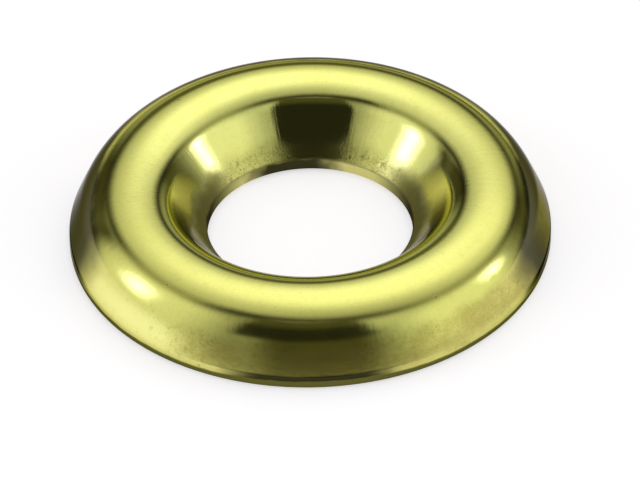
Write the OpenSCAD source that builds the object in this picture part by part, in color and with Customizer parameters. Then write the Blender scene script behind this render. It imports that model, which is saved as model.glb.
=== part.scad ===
/* [Rim] */
// Diameter over the rim
rim_d = 15; // [13.6:0.1:17]
// Height at which the skirt would meet the outer edge of the rim if that corner were sharp
rim_edge_h = 0.34; // [0.24:0.02:0.6]
// Radius on the upper corner of the rim's edge
rim_edge_r = 0.3; // [0.06:0.02:0.4]

/* [Crown and skirt] */
// Height of the top of the crown above the base plane
crown_h = 2.23; // [1.9:0.01:2.6]
// Outside bend radius of the sheet between the cone and the top of the crown
cone_bend_r = 1.6; // [1.2:0.05:1.8]
// Outside bend radius of the sheet between the top of the crown and the skirt
skirt_bend_r = 1.84; // [1.2:0.02:2]
// Radius of the skirt's slight outward bow, seen in section
skirt_bow_r = 20; // [10:1:60]

/* [Hole and cone] */
// Diameter of the hole for the screw's shank
hole_d = 6.4; // [5.6:0.1:7.2]
// Height at which the hole's wall would meet the cone if that corner were sharp
hole_wall_h = 0.36; // [0.2:0.02:0.5]
// Radius on the upper corner of the hole's wall
hole_edge_r = 0.16; // [0.04:0.02:0.3]
// Included angle of the cone that takes the screw's head
cone_angle = 78; // [70:1:90]

/* [Sheet] */
// Thickness of the pressed sheet
sheet_t = 0.4; // [0.35:0.01:0.6]

/* [Hidden] */
$fn = 180;
// Straight steps in each round stretch of the section
arc_steps = 12;
// Largest share of the width outside the crown's top that the outer bend may take
bend_share = 0.92;

rim_r = rim_d / 2;
hole_r = hole_d / 2;

// A point at this distance from the origin, in the direction of this heading
function polar(r, heading) = [r * cos(heading), r * sin(heading)];

function heading(v) = atan2(v[1], v[0]);

// Points along a round stretch of the section, after its first point
function arc(centre, r, from, to) =
    [for (i = [1:arc_steps]) centre + polar(r, from + (to - from) * i / arc_steps)];

// The upper face of the cone climbs from the sharp corner of the hole, and faces along its normal
cone_heading = 180 - cone_angle / 2;
cone_normal = polar(1, cone_heading);
cone_level = [hole_r, hole_wall_h] * cone_normal;

// Radius at which a line parallel to the cone, this far below its face, has height z
function cone_x(z, depth) = (cone_level - depth - z * cone_normal[1]) / cone_normal[0];

// Height at which the same line has radius x
function cone_z(x, depth) = (cone_level - depth - x * cone_normal[0]) / cone_normal[1];

// The hole's upper corner touches both its wall and the cone
hole_edge_x = hole_r + hole_edge_r;
hole_edge_c = [hole_edge_x, cone_z(hole_edge_x, hole_edge_r)];

// The inner bend touches the cone and the level of the crown's top
inner_bend_z = crown_h - cone_bend_r;
inner_bend_c = [cone_x(inner_bend_z, cone_bend_r), inner_bend_z];

// The outer bend starts where the inner one ends, and is limited by the width that is left
crown_r = inner_bend_c[0];
outer_bend_r = min(skirt_bend_r, bend_share * (rim_r - crown_r));
outer_bend_c = [crown_r, crown_h - outer_bend_r];

// The skirt's arc leaves the outer bend smoothly and aims at the rim's sharp corner
to_rim_corner = [rim_r, rim_edge_h] - outer_bend_c;
corner_gap = norm(to_rim_corner);
centre_gap = skirt_bow_r - outer_bend_r;
swing = acos((centre_gap ^ 2 + corner_gap ^ 2 - skirt_bow_r ^ 2) / (2 * centre_gap * corner_gap));
skirt_start = heading(to_rim_corner) + 180 - swing;
skirt_c = outer_bend_c - polar(centre_gap, skirt_start);

// The rim's upper corner touches both the skirt and the rim's edge
rim_edge_x = rim_r - rim_edge_r;
rim_edge_c = [
    rim_edge_x,
    skirt_c[1] + sqrt((skirt_bow_r - rim_edge_r) ^ 2 - (rim_edge_x - skirt_c[0]) ^ 2)
];
skirt_end = heading(rim_edge_c - skirt_c);

// Where the underside of the skirt comes down to the base plane
skirt_foot = asin(-skirt_c[1] / (skirt_bow_r - sheet_t));

// The sheet from the hole's foot over the crown to the rim's foot
upper_side = concat(
    [[hole_r, 0], [hole_r, hole_edge_c[1]]],
    arc(hole_edge_c, hole_edge_r, 180, cone_heading),
    [inner_bend_c + polar(cone_bend_r, cone_heading)],
    arc(inner_bend_c, cone_bend_r, cone_heading, 90),
    arc(outer_bend_c, outer_bend_r, 90, skirt_start),
    arc(skirt_c, skirt_bow_r, skirt_start, skirt_end),
    arc(rim_edge_c, rim_edge_r, skirt_end, 0),
    [[rim_r, 0]]
);

// The same way back, one sheet thickness below
underside = concat(
    [skirt_c + polar(skirt_bow_r - sheet_t, skirt_foot)],
    arc(skirt_c, skirt_bow_r - sheet_t, skirt_foot, skirt_start),
    arc(outer_bend_c, outer_bend_r - sheet_t, skirt_start, 90),
    arc(inner_bend_c, cone_bend_r - sheet_t, 90, cone_heading),
    [[cone_x(0, sheet_t), 0]]
);

// A cup pressed from one disc of brass sheet: cone, crown and skirt, trimmed at hole and rim
module washer() {
    color([0.76, 0.72, 0.33])
        rotate_extrude()
            polygon(concat(upper_side, underside));
}

washer();
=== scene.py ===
import math

import bpy
import numpy as np
from mathutils import Matrix, Vector


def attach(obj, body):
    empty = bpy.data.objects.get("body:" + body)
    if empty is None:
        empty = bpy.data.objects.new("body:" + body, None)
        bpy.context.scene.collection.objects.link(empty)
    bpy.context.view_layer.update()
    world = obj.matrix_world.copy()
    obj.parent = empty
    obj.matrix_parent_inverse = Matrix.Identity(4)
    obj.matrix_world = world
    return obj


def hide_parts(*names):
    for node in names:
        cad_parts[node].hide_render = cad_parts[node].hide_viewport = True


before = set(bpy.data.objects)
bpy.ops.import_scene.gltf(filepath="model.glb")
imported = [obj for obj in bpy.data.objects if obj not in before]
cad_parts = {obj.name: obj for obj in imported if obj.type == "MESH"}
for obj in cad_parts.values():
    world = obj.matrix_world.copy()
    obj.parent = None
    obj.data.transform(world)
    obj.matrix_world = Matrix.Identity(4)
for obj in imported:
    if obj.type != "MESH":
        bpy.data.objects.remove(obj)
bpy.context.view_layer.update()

MM = 0.001

# Section of the pressed sheet: lengths in millimetres, the cone's included angle in degrees
RIM_RADIUS = 7.5
RIM_CORNER_HEIGHT = 0.34
RIM_CORNER_ROUND = 0.3
CROWN_HEIGHT = 2.23
CROWN_RADIUS = 5.48
CONE_BEND = 1.6
SKIRT_BEND = 1.84
SKIRT_BOW = 20.0
HOLE_RADIUS = 3.2
HOLE_CORNER_HEIGHT = 0.36
HOLE_CORNER_ROUND = 0.16
CONE_ANGLE = 78.0
SHEET = 0.4
BURR_ROUND = 0.03

# Steps of the mesh round the washer
TURN_STEPS = 450


def even(count):
    """Shares from 0 to 1 in even steps."""
    return np.linspace(0.0, 1.0, count)


def toward(heading):
    """Unit vectors in the section's plane at these headings, in degrees from outwards to upwards."""
    angle = np.radians(heading)
    return np.stack([np.cos(angle), np.sin(angle)], axis=-1)


def heading_of(step):
    """Heading in degrees of a vector in the section's plane."""
    return math.degrees(math.atan2(step[1], step[0]))


def bend(centre, radius, start, end, shares):
    """Round stretch: centre plus radius times the unit vector, as its heading goes from start to end."""
    return np.asarray(centre) + radius * toward(start + (end - start) * shares)


def straight(first, last, shares):
    """Straight stretch: first plus a share of the way to last."""
    return np.asarray(first) + shares[:, None] * (np.asarray(last) - np.asarray(first))


def washer_section():
    """The closed section of the sheet, from the hole's foot over the crown to the rim and back underneath.

    The cone is a line at half its included angle through the hole's sharp corner. The crown is two round
    bends: the inner one touches the cone and the top level, the outer one goes on from there. The skirt is
    a shallow arc that leaves the outer bend smoothly and aims at the rim's sharp corner. The underside is
    the same way back, one sheet thickness below.
    Returns the points, the distance of each along the section, and that of each stretch's start.
    """
    cone_heading = 180.0 - CONE_ANGLE / 2
    cone_normal = toward(cone_heading)
    cone_level = cone_normal @ [HOLE_RADIUS, HOLE_CORNER_HEIGHT]

    def cone_x(height, depth):
        """Radius at which a line this far below the cone's face has this height."""
        return (cone_level - depth - height * cone_normal[1]) / cone_normal[0]

    def cone_z(radius, depth):
        """Height at which a line this far below the cone's face has this radius."""
        return (cone_level - depth - radius * cone_normal[0]) / cone_normal[1]

    hole_x = HOLE_RADIUS + HOLE_CORNER_ROUND
    hole_c = np.array([hole_x, cone_z(hole_x, HOLE_CORNER_ROUND)])
    inner_z = CROWN_HEIGHT - CONE_BEND
    inner_c = np.array([cone_x(inner_z, CONE_BEND), inner_z])
    outer_c = np.array([inner_c[0], CROWN_HEIGHT - SKIRT_BEND])

    to_corner = np.array([RIM_RADIUS, RIM_CORNER_HEIGHT]) - outer_c
    gap = SKIRT_BOW - SKIRT_BEND
    reach = np.hypot(*to_corner)
    swing = math.degrees(math.acos((gap**2 + reach**2 - SKIRT_BOW**2) / (2 * gap * reach)))
    skirt_start = heading_of(to_corner) + 180.0 - swing
    skirt_c = outer_c - gap * toward(skirt_start)

    rim_x = RIM_RADIUS - RIM_CORNER_ROUND
    rim_z = skirt_c[1] + math.sqrt((SKIRT_BOW - RIM_CORNER_ROUND) ** 2 - (rim_x - skirt_c[0]) ** 2)
    rim_c = np.array([rim_x, rim_z])
    skirt_end = heading_of(rim_c - skirt_c)

    under_bow = SKIRT_BOW - SHEET
    under_inner = CONE_BEND - SHEET
    under_outer = SKIRT_BEND - SHEET
    skirt_foot = math.degrees(math.asin(-skirt_c[1] / under_bow))
    rim_foot = skirt_c + under_bow * toward(skirt_foot)
    cone_foot = np.array([cone_x(0.0, SHEET), 0.0])
    cone_low = hole_c + HOLE_CORNER_ROUND * cone_normal
    cone_high = inner_c + CONE_BEND * cone_normal
    burr = BURR_ROUND

    stretches = {
        "hole_burr": bend([HOLE_RADIUS + burr, burr], burr, 270, 180, even(5)),
        "hole_wall": straight([HOLE_RADIUS, burr], [HOLE_RADIUS, hole_c[1]], even(7)),
        "hole_corner": bend(hole_c, HOLE_CORNER_ROUND, 180, cone_heading, even(9)),
        "cone": straight(cone_low, cone_high, even(26)),
        "crown_inside": bend(inner_c, CONE_BEND, cone_heading, 90, even(36)),
        "crown_outside": bend(outer_c, SKIRT_BEND, 90, skirt_start, even(50)),
        "skirt": bend(skirt_c, SKIRT_BOW, skirt_start, skirt_end, even(20)),
        "rim_corner": bend(rim_c, RIM_CORNER_ROUND, skirt_end, 0, even(11)),
        "rim_edge": straight([RIM_RADIUS, rim_c[1]], [RIM_RADIUS, burr], even(6)),
        "rim_burr": bend([RIM_RADIUS - burr, burr], burr, 0, -90, even(5)),
        "rim_foot": straight([RIM_RADIUS - burr, 0], rim_foot, even(5)),
        "under_skirt": bend(skirt_c, under_bow, skirt_foot, skirt_start, even(8)),
        "under_crown_outside": bend(outer_c, under_outer, skirt_start, 90, even(10)),
        "under_crown_inside": bend(inner_c, under_inner, 90, cone_heading, even(10)),
        "under_cone": straight(inner_c + under_inner * cone_normal, cone_foot, even(6)),
        "hole_foot": straight(cone_foot, [HOLE_RADIUS + burr, 0], even(5)),
    }
    points = np.concatenate([stretch[:-1] for stretch in stretches.values()])
    steps = np.hypot(*np.diff(points, axis=0).T)
    along = np.concatenate([[0.0], np.cumsum(steps)])
    firsts = np.cumsum([0] + [len(stretch) - 1 for stretch in stretches.values()])
    starts = {name: float(along[first]) for name, first in zip(stretches, firsts)}
    return points, along, starts


def wander(angle, seed, slowest, fastest):
    """Uneven wave round the washer: a sum of cosines of whole multiples of the angle, about 1 high."""
    draw = np.random.default_rng(seed)
    multiples = np.arange(slowest, fastest + 1)
    phases = draw.uniform(0, 2 * np.pi, len(multiples))
    heights = draw.normal(size=len(multiples)) / np.sqrt(len(multiples))
    return np.cos(angle * multiples + phases) @ heights


def hump(distance, width):
    """Bell curve of this width: one at distance zero, falling off on both sides."""
    return np.exp(-((distance / width) ** 2))


# Small marks of handling: azimuth in degrees (0 at the front, 90 to the right), stretch, place on it in
# millimetres after its start, radius and depth in millimetres
DENTS = (
    (53.0, "skirt", -0.30, 0.10, 0.010),
    (24.0, "skirt", 0.35, 0.09, 0.004),
    (-31.0, "skirt", 0.50, 0.10, 0.004),
    (148.0, "cone", 0.40, 0.12, 0.010),
    (141.0, "cone", 0.28, 0.10, 0.010),
    (-146.0, "cone", 0.34, 0.12, 0.010),
    (-139.0, "cone", 0.48, 0.10, 0.008),
)

# Slow waviness of the upper face: depth in millimetres, mean level in depths, reach along the section on
# both sides of its middle in millimetres
WAVE_DEPTH = 0.0008
WAVE_LEVEL = 2.5
WAVE_REACH = 2.6
# Its two waves: seed, fewest and most waves round the washer, length along the section in millimetres
LONG_WAVE = (16, 2, 9, 3.3)
SHORT_WAVE = (17, 2, 12, 2.1)


def pressing_marks(angle, along, starts):
    """How far the surface lies below the ideal section, in millimetres, at each angle and place along it.

    The sum of a slow waviness of the upper face, two waves that differ round the washer, and small round
    dents, bell curves both ways.
    """
    turn = angle[:, None]
    place = along[None, :]

    def wave(seed, slowest, fastest, length, course):
        """A wave of this length and course along the section, times an uneven wave round the washer."""
        return wander(turn, seed, slowest, fastest)[:, None] * course(2 * np.pi * place / length)

    middle = (starts["cone"] + starts["rim_corner"]) / 2
    upper_face = hump(place - middle, WAVE_REACH) * (place < starts["rim_corner"])
    waves = wave(*LONG_WAVE, np.cos) + wave(*SHORT_WAVE, np.sin)
    depth = WAVE_DEPTH * np.clip(WAVE_LEVEL + waves, 0, None) * upper_face

    bounds = [0.0, starts["crown_outside"], starts["rim_edge"]]
    radius = np.interp(along, bounds, [HOLE_RADIUS, CROWN_RADIUS, RIM_RADIUS])
    for azimuth, stretch, after, size, deep in DENTS:
        sideways = (turn - math.radians(azimuth) + np.pi) % (2 * np.pi) - np.pi
        away = np.hypot(sideways * radius[None, :], place - starts[stretch] - after)
        depth = depth + deep * hump(away, size)
    return depth


def turned_washer(name, section, along, starts):
    """Mesh of the closed section turned round the Z axis, sunk by its pressing marks along the normal.

    Vertex (i, j) is (r sin a_i, -r cos a_i, h), where (r, h) is point j of the section less its depth
    along the section's normal, and a_i = 2 pi i / steps. Both ways wrap round. The place along the section
    is kept as the attribute section_mm.
    """
    steps, count = TURN_STEPS, len(section)
    angle = np.linspace(0.0, 2 * np.pi, steps, endpoint=False)
    tangent = np.roll(section, -1, axis=0) - np.roll(section, 1, axis=0)
    tangent = tangent / np.linalg.norm(tangent, axis=1, keepdims=True)
    normal = np.stack([-tangent[:, 1], tangent[:, 0]], axis=-1)
    depth = pressing_marks(angle, along, starts)
    radius = section[:, 0] - depth * normal[:, 0]
    height = section[:, 1] - depth * normal[:, 1]
    sine, cosine = np.sin(angle)[:, None], np.cos(angle)[:, None]
    grid = np.stack([radius * sine, -radius * cosine, height], axis=-1)

    i, j = np.meshgrid(np.arange(steps), np.arange(count), indexing="ij")
    i_next, j_next = (i + 1) % steps, (j + 1) % count
    quads = np.stack(
        [i * count + j, i * count + j_next, i_next * count + j_next, i_next * count + j], axis=-1
    ).reshape(-1, 4)
    mesh = bpy.data.meshes.new(name)
    mesh.vertices.add(steps * count)
    mesh.vertices.foreach_set("co", (grid * MM).astype(np.float32).ravel())
    mesh.loops.add(quads.size)
    mesh.loops.foreach_set("vertex_index", quads.astype(np.int32).ravel())
    mesh.polygons.add(len(quads))
    mesh.polygons.foreach_set("loop_start", np.arange(0, quads.size, 4, dtype=np.int32))
    mesh.polygons.foreach_set("use_smooth", np.ones(len(quads), dtype=bool))
    mesh.update(calc_edges=True)
    mesh.validate()
    section_mm = mesh.attributes.new("section_mm", "FLOAT", "POINT")
    section_mm.data.foreach_set("value", np.tile(along, steps).astype(np.float32))
    piece = bpy.data.objects.new(name, mesh)
    bpy.context.scene.collection.objects.link(piece)
    return piece


def plug(tree, socket, value):
    """Links a socket to an input, or sets the input to a plain value."""
    if isinstance(value, bpy.types.NodeSocket):
        tree.links.new(value, socket)
    else:
        socket.default_value = value


def math_node(tree, operation, *values):
    """A Math node with these values or links on its inputs; returns its output."""
    node = tree.nodes.new("ShaderNodeMath")
    node.operation = operation
    for socket, value in zip(node.inputs, values):
        plug(tree, socket, value)
    return node.outputs[0]


def ramp_node(tree, value, low, high, to_low=0.0, to_high=1.0):
    """A smooth step of value from low to high; returns its output."""
    node = tree.nodes.new("ShaderNodeMapRange")
    node.interpolation_type = "SMOOTHSTEP"
    plug(tree, node.inputs["Value"], value)
    plug(tree, node.inputs["From Min"], low)
    plug(tree, node.inputs["From Max"], high)
    plug(tree, node.inputs["To Min"], to_low)
    plug(tree, node.inputs["To Max"], to_high)
    return node.outputs["Result"]


def mix_node(tree, share, first, second):
    """A colour mix of two colours or links; returns its output.

    Inputs 6 and 7 and output 2 are the colour sockets of this node.
    """
    node = tree.nodes.new("ShaderNodeMix")
    node.data_type = "RGBA"
    plug(tree, node.inputs[0], share)
    plug(tree, node.inputs[6], first)
    plug(tree, node.inputs[7], second)
    return node.outputs[2]


def noise_node(tree, vector, scale, detail, roughness=0.5):
    """A Noise texture on this vector; returns its value."""
    node = tree.nodes.new("ShaderNodeTexNoise")
    plug(tree, node.inputs["Vector"], vector)
    node.inputs["Scale"].default_value = scale
    node.inputs["Detail"].default_value = detail
    node.inputs["Roughness"].default_value = roughness
    return node.outputs[0]


def new_group(name, inputs, outputs):
    """An empty shader node group with these named sockets; returns it with its input and output nodes."""
    group = bpy.data.node_groups.new(name, "ShaderNodeTree")
    for socket, kind in inputs.items():
        group.interface.new_socket(socket, in_out="INPUT", socket_type=kind)
    for socket, kind in outputs.items():
        group.interface.new_socket(socket, in_out="OUTPUT", socket_type=kind)
    source = group.nodes.new("NodeGroupInput")
    sink = group.nodes.new("NodeGroupOutput")
    return group, source.outputs, sink.inputs


FLOAT = "NodeSocketFloat"
VECTOR = "NodeSocketVector"


def section_band_group():
    """Mask of a band round the washer: 1 from one place along the section to another, with soft edges."""
    group, given, out = new_group(
        "section_band",
        {"Place": FLOAT, "From": FLOAT, "To": FLOAT, "Edge": FLOAT, "Shift": FLOAT},
        {"Mask": FLOAT},
    )
    place = math_node(group, "ADD", given["Place"], given["Shift"])
    enter = ramp_node(
        group, place,
        math_node(group, "SUBTRACT", given["From"], given["Edge"]),
        math_node(group, "ADD", given["From"], given["Edge"]),
    )
    leave = ramp_node(
        group, place,
        math_node(group, "ADD", given["To"], given["Edge"]),
        math_node(group, "SUBTRACT", given["To"], given["Edge"]),
    )
    group.links.new(math_node(group, "MULTIPLY", enter, leave), out["Mask"])
    return group


# Pits: cells per millimetre, smallest radius and its spread in cells, share of the radius that is flat
PIT_CELLS = 3.2
PIT_SMALLEST = 0.10
PIT_SPREAD = 0.14
PIT_BOTTOM = 0.4


def pressed_grain_group():
    """Fine unevenness of the pressed sheet.

    Position is in millimetres. Mottle is a slow cloud, Streaks run along the section, Rings run round the
    washer, Grain is fine and Specks are coarser. Pits is a mask of small round spots, and Pit Share gives
    how many cells have one.
    """
    group, given, out = new_group(
        "pressed_grain",
        {"Position": VECTOR, "Place": FLOAT, "Pit Share": FLOAT},
        {"Mottle": FLOAT, "Streaks": FLOAT, "Rings": FLOAT, "Grain": FLOAT, "Specks": FLOAT, "Pits": FLOAT},
    )
    axes = group.nodes.new("ShaderNodeSeparateXYZ")
    group.links.new(given["Position"], axes.inputs[0])
    flat = group.nodes.new("ShaderNodeCombineXYZ")
    group.links.new(axes.outputs["X"], flat.inputs["X"])
    group.links.new(axes.outputs["Y"], flat.inputs["Y"])
    outward = group.nodes.new("ShaderNodeVectorMath")
    outward.operation = "NORMALIZE"
    group.links.new(flat.outputs[0], outward.inputs[0])
    round_axes = group.nodes.new("ShaderNodeSeparateXYZ")
    group.links.new(outward.outputs[0], round_axes.inputs[0])

    def surface_vector(around, lengthways):
        """Texture vector with these scales round the washer and along the section."""
        vector = group.nodes.new("ShaderNodeCombineXYZ")
        plug(group, vector.inputs["X"], math_node(group, "MULTIPLY", round_axes.outputs["X"], around))
        plug(group, vector.inputs["Y"], math_node(group, "MULTIPLY", round_axes.outputs["Y"], around))
        plug(group, vector.inputs["Z"], math_node(group, "MULTIPLY", given["Place"], lengthways))
        return vector.outputs[0]

    position = given["Position"]
    lengthwise = surface_vector(around=42.0, lengthways=1.1)
    roundabout = surface_vector(around=5.0, lengthways=22.0)
    noises = {
        "Mottle": noise_node(group, position, scale=0.9, detail=4.0, roughness=0.6),
        "Streaks": noise_node(group, lengthwise, scale=1.0, detail=3.0),
        "Rings": noise_node(group, roundabout, scale=1.0, detail=2.0),
        "Grain": noise_node(group, position, scale=14.0, detail=3.0, roughness=0.6),
        "Specks": noise_node(group, position, scale=5.0, detail=5.0, roughness=0.7),
    }
    for name, noise in noises.items():
        group.links.new(noise, out[name])

    cells = group.nodes.new("ShaderNodeTexVoronoi")
    cells.inputs["Scale"].default_value = PIT_CELLS
    group.links.new(position, cells.inputs["Vector"])
    draw = group.nodes.new("ShaderNodeSeparateColor")
    group.links.new(cells.outputs["Color"], draw.inputs[0])
    chosen = math_node(group, "LESS_THAN", draw.outputs[0], given["Pit Share"])
    size = math_node(group, "MULTIPLY_ADD", draw.outputs[1], PIT_SPREAD, PIT_SMALLEST)
    bottom = math_node(group, "MULTIPLY", size, PIT_BOTTOM)
    spot = ramp_node(group, cells.outputs["Distance"], size, bottom)
    group.links.new(math_node(group, "MULTIPLY", spot, chosen), out["Pits"])
    return group


# Colours of the sheet. EDGE_TINT is the metal's tint where it is seen at a grazing angle
BRASS = (0.80, 0.78, 0.27, 1)
BRASS_WARM = (0.74, 0.71, 0.22, 1)
BRASS_DULL = (0.735, 0.705, 0.215, 1)
# Painted reflection: a paler, bluer brass on the sides and front of the cone
BRASS_PAINTED_REFLECTION = (0.72, 0.68, 0.38, 1)
# Painted light: a brighter brass on the skirt at the left of the front
BRASS_PAINTED_LIGHT = (0.95, 0.94, 0.34, 1)
# Tarnish on the cone's foot, which is also painted shade where the lamp highlights end
FOOT_TARNISH_AND_SHADE = (0.52, 0.48, 0.15, 1)
# A brown patch, and painted shade, at the sides of the cone's foot
FOOT_BROWN_AND_SHADE = (0.12, 0.11, 0.035, 1)
# Blotchy tarnish on the skirt, which is also painted shade on its reflection of the floor
SKIRT_TARNISH_AND_SHADE = (0.52, 0.47, 0.125, 1)
# Painted shade: a dark brown low on the skirt, at its sides and back
SKIRT_PAINTED_SHADE = (0.085, 0.082, 0.062, 1)
EDGE_TINT = (0.35, 0.345, 0.31, 1)
# The dull trimmed rim, painted dark as shade
RIM_EDGE_AND_PAINTED_SHADE = (0.14, 0.135, 0.03, 1)
# Painted shade: the dark line along the rim's corner
RIM_SHADE = (0.035, 0.033, 0.012, 1)
TRIMMED_HOLE = (0.74, 0.70, 0.27, 1)
# Painted shade: the dark reflection on the hole's trimmed wall
HOLE_SHADE = (0.05, 0.045, 0.018, 1)
# Colour of the grain's specks, also used as painted shade on the skirt at the right of the front
GRAIN_AND_PAINTED_SHADE = (0.34, 0.30, 0.08, 1)
PIT_SHADE = (0.20, 0.18, 0.05, 1)


class Sheet:
    """The node tree of the sheet's material, with what its masks are made from.

    Position is in millimetres: across is to the right, backward is away from the front and sideways is
    away from the middle. Place is the distance along the section in millimetres, and starts has the place
    at which each stretch starts.
    """

    def __init__(self, tree, starts):
        self.tree = tree
        self.starts = starts
        self.band_group = section_band_group()
        texture = tree.nodes.new("ShaderNodeTexCoord")
        in_mm = tree.nodes.new("ShaderNodeVectorMath")
        in_mm.operation = "SCALE"
        in_mm.inputs["Scale"].default_value = 1.0 / MM
        tree.links.new(texture.outputs["Object"], in_mm.inputs[0])
        self.position = in_mm.outputs[0]
        section = tree.nodes.new("ShaderNodeAttribute")
        section.attribute_name = "section_mm"
        self.place = section.outputs["Fac"]
        axes = tree.nodes.new("ShaderNodeSeparateXYZ")
        tree.links.new(self.position, axes.inputs[0])
        self.across = axes.outputs["X"]
        self.backward = axes.outputs["Y"]
        self.sideways = math_node(tree, "ABSOLUTE", self.across)

    def band(self, first, last, edge, shift=0.0):
        """Mask of a band from one place along the section to another, moved back by a shift."""
        node = self.tree.nodes.new("ShaderNodeGroup")
        node.node_tree = self.band_group
        plug(self.tree, node.inputs["Place"], self.place)
        node.inputs["From"].default_value = first
        node.inputs["To"].default_value = last
        node.inputs["Edge"].default_value = edge
        plug(self.tree, node.inputs["Shift"], shift)
        return node.outputs["Mask"]

    def waver(self, scale, height):
        """Noise of this scale per millimetre and this height from its least to its greatest, about zero."""
        noise = noise_node(self.tree, self.position, scale, detail=2.0)
        return math_node(self.tree, "MULTIPLY", math_node(self.tree, "SUBTRACT", noise, 0.5), height)

    def ramp(self, value, low, high, to_low=0.0, to_high=1.0):
        """A smooth step of value from low to high."""
        return ramp_node(self.tree, value, low, high, to_low, to_high)

    def add(self, first, second):
        """The sum of two values."""
        return math_node(self.tree, "ADD", first, second)

    def scale_add(self, value, factor, rest):
        """Value times factor, plus the rest."""
        return math_node(self.tree, "MULTIPLY_ADD", value, factor, rest)

    def product(self, first, *others):
        """The product of these values."""
        for other in others:
            first = math_node(self.tree, "MULTIPLY", first, other)
        return first


# A place before the start of the section, for bands that take in all of its beginning
BEFORE_START = -1.0


def cone_masks(sheet):
    """Masks on the cone: its pitted foot, its sides and front with a painted reflection tint, its foot with
    tarnish and painted shade where the lamp highlights end, and that foot's sides with a brown patch and
    painted shade.
    """
    starts = sheet.starts
    pitted = sheet.band(starts["hole_corner"], starts["cone"] + 0.50, 0.16, sheet.waver(1.6, 0.5))
    whole = sheet.band(BEFORE_START, starts["crown_inside"] + 0.1, 0.2)
    # Painted reflection tint on the sides and front of the cone
    cone_side = sheet.product(sheet.ramp(sheet.backward, 1.9, 0.6), whole)
    # The foot of the cone: tarnish, and painted shade that ends the lamp highlights there
    foot = sheet.band(BEFORE_START, starts["cone"] + 0.62, 0.35, sheet.waver(1.4, 0.5))
    # Brown patch and painted shade at the sides of the cone's foot, where the lamp highlights would reach
    # it
    beside = sheet.ramp(sheet.sideways, 2.0, 3.0)
    side_foot = sheet.product(sheet.ramp(sheet.backward, 3.4, 1.2), foot, beside)
    return {"cone_foot": pitted, "cone_side": cone_side, "foot": foot, "side_foot": side_foot}


def side_shade_masks(sheet):
    """Masks of what is away from the front, and of the painted shade there, a dark brown low on the skirt.

    The painted shade darkens the skirt's reflection at the sides and back. It reaches higher towards the
    back, is paler at the right, and the lower skirt at the back is free of it.
    """
    starts = sheet.starts
    backward = sheet.backward
    climb = sheet.scale_add(math_node(sheet.tree, "MINIMUM", backward, 0.2), 0.21, sheet.waver(1.2, 0.2))
    climb = sheet.add(climb, sheet.ramp(backward, 3.4, 6.4, 0.0, 0.45))
    low_skirt = sheet.band(starts["skirt"] - 0.94, starts["under_skirt"] + 1.0, 0.17, climb)
    slanted = sheet.scale_add(sheet.across, 0.06, sheet.add(backward, sheet.waver(0.7, 1.0)))
    away_from_front = sheet.ramp(slanted, -3.8, -2.0)
    right_back = sheet.product(
        sheet.ramp(sheet.across, 5.2, 6.7),
        sheet.ramp(backward, -2.2, 0.6),
        sheet.band(starts["skirt"] - 0.1, starts["rim_edge"], 0.15),
    )
    below_bend = sheet.scale_add(math_node(sheet.tree, "SUBTRACT", backward, 2.55), 0.205, sheet.place)
    shade_free_back = sheet.product(
        sheet.ramp(below_bend, starts["skirt"] + 0.08, starts["skirt"] + 0.30),
        sheet.ramp(backward, 2.0, 3.0),
    )
    # Painted shade, low on the skirt away from the front
    painted_side_shade = sheet.product(
        low_skirt,
        away_from_front,
        math_node(sheet.tree, "SUBTRACT", 1.0, shade_free_back),
        sheet.scale_add(right_back, -0.7, 0.95),
    )
    return {"away_from_front": away_from_front, "painted_side_shade": painted_side_shade}


def edge_masks(sheet, away_from_front):
    """Masks of the trimmed edges: the rim, dull and painted dark as shade, the painted dark line above it,
    the hole, and the hole's parts left bright beside its painted dark reflection.
    """
    starts = sheet.starts
    # The trimmed rim is dull, and painted dark as shade; at the front the painted band reaches higher up
    # the corner
    rim_front = sheet.ramp(sheet.add(sheet.sideways, sheet.waver(0.8, 1.0)), 3.5, 1.5)
    rim_shift = sheet.scale_add(rim_front, 0.07, sheet.waver(2.2, 0.06))
    trimmed_rim_and_shade = sheet.band(starts["rim_edge"] + 0.09, starts["under_skirt"], 0.05, rim_shift)
    # Painted shade: a dark line along the rim's corner, at the front and away from it
    line_shift = sheet.waver(1.5, 0.05)
    rim_shade_line = sheet.band(starts["rim_corner"] - 0.02, starts["rim_edge"] + 0.05, 0.03, line_shift)
    lined = math_node(sheet.tree, "MAXIMUM", rim_front, away_from_front)
    trimmed_hole = sheet.band(BEFORE_START, starts["cone"] - 0.02, 0.07, sheet.waver(1.8, 0.16))
    # Painted reflection: the hole's trimmed wall is painted dark in the middle at the back, where the dark
    # opening is seen in it, dark at the front and dimmer at the sides; hole_lit is where it keeps its brass
    # colour
    off_middle = sheet.add(sheet.add(sheet.across, 0.5), sheet.waver(1.6, 1.0))
    hole_lit = sheet.product(
        sheet.ramp(math_node(sheet.tree, "ABSOLUTE", off_middle), 0.7, 1.8),
        sheet.ramp(sheet.backward, 0.6, 2.0),
        sheet.ramp(sheet.sideways, 1.9, 2.9, 1.0, 0.35),
    )
    return {
        "trimmed_rim_and_shade": trimmed_rim_and_shade,
        "rim_shade_line": sheet.product(rim_shade_line, lined),
        "trimmed_hole": trimmed_hole,
        "hole_lit": hole_lit,
    }


def sheet_masks(sheet):
    """All masks that depend on the place on the sheet alone."""
    starts = sheet.starts
    crown_outside = starts["crown_outside"]
    outside = sheet.ramp(sheet.place, crown_outside - 0.5, crown_outside + 0.9)
    masks = {
        "outside": outside,
        "worn": sheet.product(outside, sheet.ramp(sheet.backward, 4.6, 1.4)),
        "skirt": sheet.band(starts["skirt"] - 0.1, starts["rim_corner"], 0.25, sheet.waver(1.2, 0.5)),
        "underside": sheet.band(starts["under_skirt"], starts["hole_foot"], 0.02),
    }
    masks.update(cone_masks(sheet))
    masks.update(side_shade_masks(sheet))
    masks.update(edge_masks(sheet, masks["away_from_front"]))
    return masks


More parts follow.
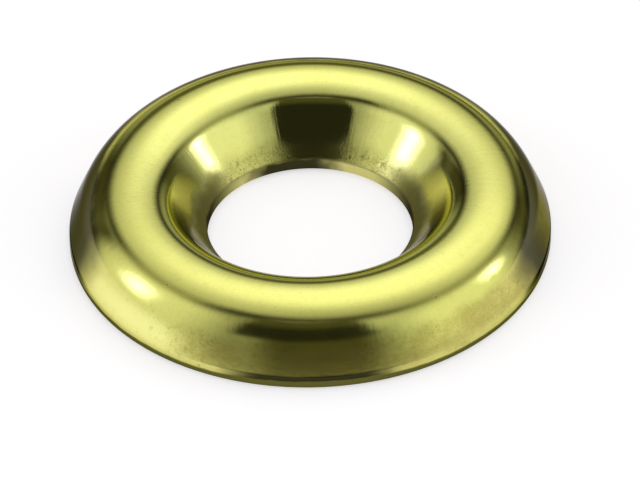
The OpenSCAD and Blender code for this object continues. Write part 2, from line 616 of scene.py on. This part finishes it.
def sheet_grain(sheet, masks):
    """Outputs of the pressed grain, with more pits on the skirt and most on the foot of the cone."""
    grain = sheet.tree.nodes.new("ShaderNodeGroup")
    grain.node_tree = pressed_grain_group()
    sheet.tree.links.new(sheet.position, grain.inputs["Position"])
    plug(sheet.tree, grain.inputs["Place"], sheet.place)
    pit_share = sheet.scale_add(masks["skirt"], 0.06, 0.02)
    pit_share = sheet.scale_add(masks["cone_foot"], 0.25, pit_share)
    sheet.tree.links.new(pit_share, grain.inputs["Pit Share"])
    return grain.outputs


def sheet_colour(sheet, masks, grain):
    """Colour of the sheet: brass that varies with the mottle, under layers of tarnish, specks, pits, and
    painted light and shade.
    """
    tree = sheet.tree
    starts = sheet.starts
    skirt = masks["skirt"]
    cone_foot = masks["cone_foot"]

    # The skirt's tarnish, which is also painted shade on its reflection of the floor, is blotchy and has a
    # ragged end towards the left, where there is less of it
    blotches = sheet.ramp(grain["Mottle"], 0.32, 0.62, 0.45, 1.0)
    ragged = math_node(tree, "MULTIPLY", math_node(tree, "SUBTRACT", grain["Specks"], 0.5), 3.0)
    ragged_across = sheet.add(sheet.add(sheet.across, ragged), sheet.waver(1.1, 2.0))
    less_at_left = sheet.ramp(ragged_across, -5.4, -2.6, 0.05, 1.0)
    tarnish_and_shade = sheet.product(skirt, blotches, less_at_left)

    # Painted light and shade: the skirt is painted brighter at the left of the front, and duller at the
    # right of it
    painted_light_left = sheet.product(
        sheet.ramp(sheet.across, -3.6, -4.8),
        sheet.ramp(sheet.backward, -2.6, -3.4),
        sheet.band(starts["skirt"] + 0.1, starts["rim_corner"], 0.3),
    )
    # Painted shade: a duller lower skirt at the right of the front
    painted_shade_right = sheet.product(
        sheet.ramp(sheet.across, 2.0, 3.0),
        sheet.ramp(sheet.across, 6.0, 4.6),
        sheet.ramp(sheet.backward, -3.0, -4.2),
        sheet.band(starts["skirt"] + 0.55, starts["rim_corner"], 0.3),
    )

    # Specks are strongest on the skirt's tarnish and on the foot of the cone, darkest at its sides
    fine = math_node(tree, "MULTIPLY", sheet.ramp(grain["Grain"], 0.50, 0.66), 0.55)
    speckled = math_node(tree, "MAXIMUM", fine, sheet.ramp(grain["Specks"], 0.50, 0.72))
    speck_share = sheet.add(sheet.product(skirt, less_at_left, 0.50), 0.14)
    speck_share = sheet.scale_add(cone_foot, 0.50, speck_share)
    foot_specks = sheet.product(cone_foot, sheet.ramp(sheet.sideways, 1.0, 2.0, 0.0, 0.8), speckled)

    # Each layer's mask, its strength and its colour, from the lowest to the topmost
    layers = (
        (masks["outside"], 1.0, BRASS_DULL),
        (masks["cone_side"], 1.0, BRASS_PAINTED_REFLECTION),
        (masks["foot"], 0.65, FOOT_TARNISH_AND_SHADE),
        (masks["side_foot"], 0.85, FOOT_BROWN_AND_SHADE),
        (tarnish_and_shade, 1.0, SKIRT_TARNISH_AND_SHADE),
        (painted_light_left, 0.85, BRASS_PAINTED_LIGHT),
        (painted_shade_right, 0.5, GRAIN_AND_PAINTED_SHADE),
        (sheet.product(speck_share, speckled), 1.0, GRAIN_AND_PAINTED_SHADE),
        (foot_specks, 1.0, PIT_SHADE),
        (masks["painted_side_shade"], 1.0, SKIRT_PAINTED_SHADE),
        (grain["Pits"], 0.45, PIT_SHADE),
        (masks["trimmed_hole"], 1.0, mix_node(tree, masks["hole_lit"], HOLE_SHADE, TRIMMED_HOLE)),
        (masks["trimmed_rim_and_shade"], 1.0, RIM_EDGE_AND_PAINTED_SHADE),
        (masks["rim_shade_line"], 1.0, RIM_SHADE),
    )
    colour = mix_node(tree, sheet.ramp(grain["Mottle"], 0.35, 0.7, 0.0, 0.55), BRASS, BRASS_WARM)
    for mask, strength, shade in layers:
        colour = mix_node(tree, sheet.product(mask, strength), colour, shade)
    return colour


def sheet_roughness(sheet, masks, grain):
    """Roughness of the sheet: low where it is polished, raised where it is worn, tarnished or trimmed."""
    raised = (
        (masks["foot"], 0.14),
        (masks["cone_side"], 0.14),
        (masks["side_foot"], 0.25),
        (masks["worn"], 0.06),
        (masks["skirt"], 0.04),
        (masks["underside"], 0.16),
        (math_node(sheet.tree, "MAXIMUM", masks["trimmed_rim_and_shade"], masks["trimmed_hole"]), 0.30),
    )
    rough = sheet.ramp(grain["Mottle"], 0.3, 0.7, 0.05, 0.09)
    for mask, rise in raised:
        rough = sheet.scale_add(mask, rise, rough)
    return rough


def sheet_relief(sheet, masks, grain):
    """Height of the fine relief in millimetres, rougher on the foot of the cone and on the skirt."""
    parts = (
        (grain["Streaks"], 0.0015),
        (grain["Rings"], 0.0003),
        (grain["Grain"], 0.0006),
        (sheet.product(masks["cone_foot"], grain["Grain"]), 0.0045),
        (sheet.product(masks["skirt"], grain["Specks"]), 0.0020),
        (grain["Pits"], -0.003),
    )
    relief = 0.0
    for part, height in parts:
        relief = sheet.scale_add(part, height, relief)
    return relief


def brass_material(starts):
    """Polished brass with mottle, streaks, grain, pits, tarnish on skirt and cone, dull edges, and painted
    light and shade on skirt, cone, rim and hole.
    """
    material = bpy.data.materials.new("brass")
    material.use_nodes = True
    tree = material.node_tree
    brass = tree.nodes["Principled BSDF"]
    brass.inputs["Metallic"].default_value = 1.0
    brass.inputs["Specular Tint"].default_value = EDGE_TINT

    sheet = Sheet(tree, starts)
    masks = sheet_masks(sheet)
    grain = sheet_grain(sheet, masks)
    tree.links.new(sheet_colour(sheet, masks, grain), brass.inputs["Base Color"])
    tree.links.new(sheet_roughness(sheet, masks, grain), brass.inputs["Roughness"])
    bump = tree.nodes.new("ShaderNodeBump")
    bump.inputs["Strength"].default_value = 1.0
    bump.inputs["Distance"].default_value = MM
    tree.links.new(sheet_relief(sheet, masks, grain), bump.inputs["Height"])
    tree.links.new(bump.outputs[0], brass.inputs["Normal"])
    return material


def soft_panel_group():
    """Mask of a soft-edged panel in the room, from its half width and half height."""
    group, given, out = new_group(
        "soft_panel",
        {
            "Azimuth": FLOAT, "Middle Azimuth": FLOAT, "Half Width": FLOAT, "Side Edge": FLOAT,
            "Elevation": FLOAT, "Middle Elevation": FLOAT, "Half Height": FLOAT, "Level Edge": FLOAT,
        },
        {"Mask": FLOAT},
    )

    def falloff(distance, half, edge):
        """One up to the half less the edge, falling smoothly to zero at the half plus the edge."""
        inner = math_node(group, "SUBTRACT", half, edge)
        outer = math_node(group, "ADD", half, edge)
        return ramp_node(group, distance, outer, inner)

    turned = math_node(group, "SUBTRACT", given["Azimuth"], given["Middle Azimuth"])
    wrapped = math_node(group, "WRAP", turned, 180.0, -180.0)
    sideways = math_node(group, "ABSOLUTE", wrapped)
    raised = math_node(group, "SUBTRACT", given["Elevation"], given["Middle Elevation"])
    upwards = math_node(group, "ABSOLUTE", raised)
    across = falloff(sideways, given["Half Width"], given["Side Edge"])
    up = falloff(upwards, given["Half Height"], given["Level Edge"])
    group.links.new(math_node(group, "MULTIPLY", across, up), out["Mask"])
    return group


# The studio is a white tent. Walls and lamps: azimuths from and to in degrees (0 towards the camera, 90 to
# the right), side edge, elevations from and to, level edge, colour
TENT_CLOTH = (0.57, 0.61, 0.52)
TENT_PANELS = {
    "back wall": (130.4, 232.3, 13.4, -10, 40, 8, (0.90, 0.95, 0.81)),
    "right back foot": (118, 195, 31, -8, 7.3, 8, (0.10, 0.10, 0.05)),
    "left back foot": (197.5, 241.8, 10.4, 2.6, 25.3, 5.4, (0.06, 0.06, 0.03)),
    "left wall": (-119, -29.5, 9, -20, 80, 2, (0.27, 0.28, 0.23)),
    "left glow": (-119, -52.5, 20, -30, 51, 11, (0.92, 0.95, 0.84)),
    "right wall": (22, 113, 6, -20, 80, 2, (0.60, 0.64, 0.55)),
    "right glow": (51, 103.5, 12, -30, 40, 11, (1.01, 1.05, 0.92)),
    "left dark corner": (-131, -119, 7, -40, 29.7, 6.6, (0.055, 0.055, 0.025)),
    "right dark corner": (111, 150, 16, -40, 23, 7, (0.09, 0.09, 0.045)),
    "left lamp": (-98, -85, 8, 12, 32, 8, (3.0, 3.1, 4.2)),
    "right lamp": (93.5, 103, 6, 16, 29, 6, (3.5, 3.6, 4.5)),
}
# The roof of the tent is a disc with a dark seam round it, which is paler at the sides: azimuth and
# elevation of the disc's middle, angles from there at which the disc and the seam begin and are full
ROOF_MIDDLE = (169.5, 63.7)
ROOF_EDGE = (50.5, 38.3)
SEAM_EDGE = (59.7, 47.7)
ROOF_CLOTH = (0.46, 0.475, 0.405)
SEAM_SHADE = (0.015, 0.015, 0.008)
SEAM_PANELS = {
    "left seam": (-119, -75, 10.5, -90, 180, 1, (0.36, 0.37, 0.25)),
    "right seam": (62, 117, 22.5, -90, 180, 1, (0.37, 0.38, 0.26)),
    "back seam": (119.6, 218.7, 10, -90, 180, 1, (0.01, 0.01, 0.005)),
}
# Lamps above the roof: azimuth and elevation, angles from there at which their light begins and would be
# full, colour
ROOF_LAMPS = {
    "back lamp": (166.9, 61.4, 29.5, 2, (1.50, 1.55, 1.40)),
    "right back lamp": (148.5, 55, 46.7, -4, (1.39, 1.43, 1.29)),
    "left back lamp": (-166, 63, 48.4, -11.5, (1.35, 1.39, 1.25)),
    "low back lamp": (143.7, 45.5, 14.8, 1.3, (1.25, 1.29, 1.16)),
}
# Gaps in the tent: one at the back, and the opening towards the camera with its hem above and its foot
# below
OPENING_PANELS = {
    "back gap": (175.4, 195.8, 3.7, 11.2, 21.2, 6.3, (0.13, 0.13, 0.06)),
    "opening hem": (-39, 31.5, 5, 42, 63, 1.5, (0.075, 0.075, 0.035)),
    "opening foot": (-27.7, 34.6, 12.4, -40, 38.3, 8.2, (0.08, 0.075, 0.035)),
    "opening": (-39.5, 30.9, 2.5, 26.4, 51.5, 6, (0.02, 0.02, 0.014)),
}


def compass(azimuth, elevation):
    """Unit vector of a direction given by azimuth and elevation in degrees."""
    turn, rise = math.radians(azimuth), math.radians(elevation)
    return (math.sin(turn) * math.cos(rise), -math.cos(turn) * math.cos(rise), math.sin(rise))


def studio_room():
    """World light: walls, seam, roof and gaps of a white tent, each painted over the one before."""
    world = bpy.data.worlds.new("studio_room")
    world.use_nodes = True
    bpy.context.scene.world = world
    tree = world.node_tree
    tree.nodes.clear()
    panel_mask = soft_panel_group()
    direction = tree.nodes.new("ShaderNodeTexCoord")
    axes = tree.nodes.new("ShaderNodeSeparateXYZ")
    tree.links.new(direction.outputs["Generated"], axes.inputs[0])
    depth = math_node(tree, "MULTIPLY", axes.outputs["Y"], -1.0)
    turn = math_node(tree, "ARCTAN2", axes.outputs["X"], depth)
    azimuth = math_node(tree, "DEGREES", turn)
    rise = math_node(tree, "ARCSINE", axes.outputs["Z"])
    elevation = math_node(tree, "DEGREES", rise)

    def away_from(place):
        """Angle in degrees between the direction and a place in the room."""
        dot = tree.nodes.new("ShaderNodeVectorMath")
        dot.operation = "DOT_PRODUCT"
        tree.links.new(direction.outputs["Generated"], dot.inputs[0])
        dot.inputs[1].default_value = compass(*place)
        return math_node(tree, "DEGREES", math_node(tree, "ARCCOSINE", dot.outputs["Value"]))

    def hang(panels, colour):
        """Paints these panels over a colour."""
        for name, (left, right, side, low, high, level, shade) in panels.items():
            mask = tree.nodes.new("ShaderNodeGroup")
            mask.node_tree = panel_mask
            mask.label = name
            tree.links.new(azimuth, mask.inputs["Azimuth"])
            tree.links.new(elevation, mask.inputs["Elevation"])
            mask.inputs["Middle Azimuth"].default_value = (left + right) / 2
            mask.inputs["Half Width"].default_value = (right - left) / 2
            mask.inputs["Side Edge"].default_value = side
            mask.inputs["Middle Elevation"].default_value = (low + high) / 2
            mask.inputs["Half Height"].default_value = (high - low) / 2
            mask.inputs["Level Edge"].default_value = level
            colour = mix_node(tree, mask.outputs["Mask"], colour, (*shade, 1))
        return colour

    colour = hang(TENT_PANELS, (*TENT_CLOTH, 1))
    from_middle = away_from(ROOF_MIDDLE)
    seam = hang(SEAM_PANELS, (*SEAM_SHADE, 1))
    colour = mix_node(tree, ramp_node(tree, from_middle, *SEAM_EDGE), colour, seam)
    roof = (*ROOF_CLOTH, 1)
    for lamp_azimuth, lamp_elevation, begins, full, shade in ROOF_LAMPS.values():
        lit = ramp_node(tree, away_from((lamp_azimuth, lamp_elevation)), begins, full)
        roof = mix_node(tree, lit, roof, (*shade, 1))
    colour = mix_node(tree, ramp_node(tree, from_middle, *ROOF_EDGE), colour, roof)
    colour = hang(OPENING_PANELS, colour)
    background = tree.nodes.new("ShaderNodeBackground")
    output = tree.nodes.new("ShaderNodeOutputWorld")
    tree.links.new(colour, background.inputs["Color"])
    tree.links.new(background.outputs[0], output.inputs["Surface"])


# Floor: half its width in metres, points along each side, colour of its paper, glow where it is seen
FLOOR_HALF = 1.5
FLOOR_POINTS = 3
FLOOR_PAPER = (0.80, 0.755, 0.87, 1)
FLOOR_GLOW = 0.52


def pale_floor():
    """A flat square grid of points x and y from minus to plus the half width, at height zero.

    Its paper glows a little where it is seen directly or in a reflection, so that it looks white there and
    still shows the washer's shadow.
    """
    side = np.linspace(-FLOOR_HALF, FLOOR_HALF, FLOOR_POINTS)
    x, y = np.meshgrid(side, side)
    points = np.stack([x, y, 0 * x], axis=-1).reshape(-1, 3)
    corner = np.array([0, 1, FLOOR_POINTS + 1, FLOOR_POINTS])
    cells = np.arange(FLOOR_POINTS - 1)
    starts = (cells[:, None] * FLOOR_POINTS + cells).reshape(-1, 1)
    mesh = bpy.data.meshes.new("floor")
    mesh.from_pydata(points.tolist(), [], (starts + corner).tolist())
    floor = bpy.data.objects.new("floor", mesh)
    bpy.context.scene.collection.objects.link(floor)

    material = bpy.data.materials.new("pale_floor")
    material.use_nodes = True
    tree = material.node_tree
    paper = tree.nodes["Principled BSDF"]
    paper.inputs["Base Color"].default_value = FLOOR_PAPER
    paper.inputs["Roughness"].default_value = 1.0
    paper.inputs["Specular IOR Level"].default_value = 0.0
    path = tree.nodes.new("ShaderNodeLightPath")
    seen = math_node(tree, "ADD", path.outputs["Is Camera Ray"], path.outputs["Is Glossy Ray"])
    seen = math_node(tree, "ADD", seen, path.outputs["Is Transmission Ray"])
    glow = math_node(tree, "MULTIPLY", seen, FLOOR_GLOW)
    paper.inputs["Emission Color"].default_value = (1, 1, 1, 1)
    tree.links.new(glow, paper.inputs["Emission Strength"])
    mesh.materials.append(material)


# Camera: a long lens, from the front and above. Angles are in degrees, distance and shifts in millimetres,
# lens and sensor in millimetres of the camera, clipping in metres
CAMERA_ELEVATION = 39.0
CAMERA_DISTANCE = 195.0
CAMERA_ROLL = -1.03
CAMERA_RIGHT = 0.303
CAMERA_UP = -0.565
CAMERA_LENS = 351.9
CAMERA_SENSOR = 36.0
CAMERA_CLIP = (0.001, 50.0)


def place_camera():
    """Sets the camera on a line that rises from the washer to the front, rolled and shifted to frame it."""
    camera = bpy.data.objects.new("camera", bpy.data.cameras.new("camera"))
    bpy.context.scene.collection.objects.link(camera)
    camera.data.sensor_width = CAMERA_SENSOR
    camera.data.lens = CAMERA_LENS
    camera.data.clip_start, camera.data.clip_end = CAMERA_CLIP
    rise = math.radians(CAMERA_ELEVATION)
    back = Vector((0, -math.cos(rise), math.sin(rise)))
    facing = (-back).to_track_quat("-Z", "Y").to_matrix()
    facing = facing @ Matrix.Rotation(math.radians(CAMERA_ROLL), 3, "Z")
    shift = facing @ Vector((CAMERA_RIGHT, CAMERA_UP, 0))
    camera.location = (back * CAMERA_DISTANCE + shift) * MM
    camera.rotation_euler = facing.to_euler()
    bpy.context.scene.camera = camera


bpy.context.scene.view_settings.view_transform = "Standard"
place_camera()
studio_room()
pale_floor()

section, along, starts = washer_section()
cup = turned_washer("cup_washer", section, along, starts)
cup.data.materials.append(brass_material(starts))
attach(cup, "root")
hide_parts("washer")
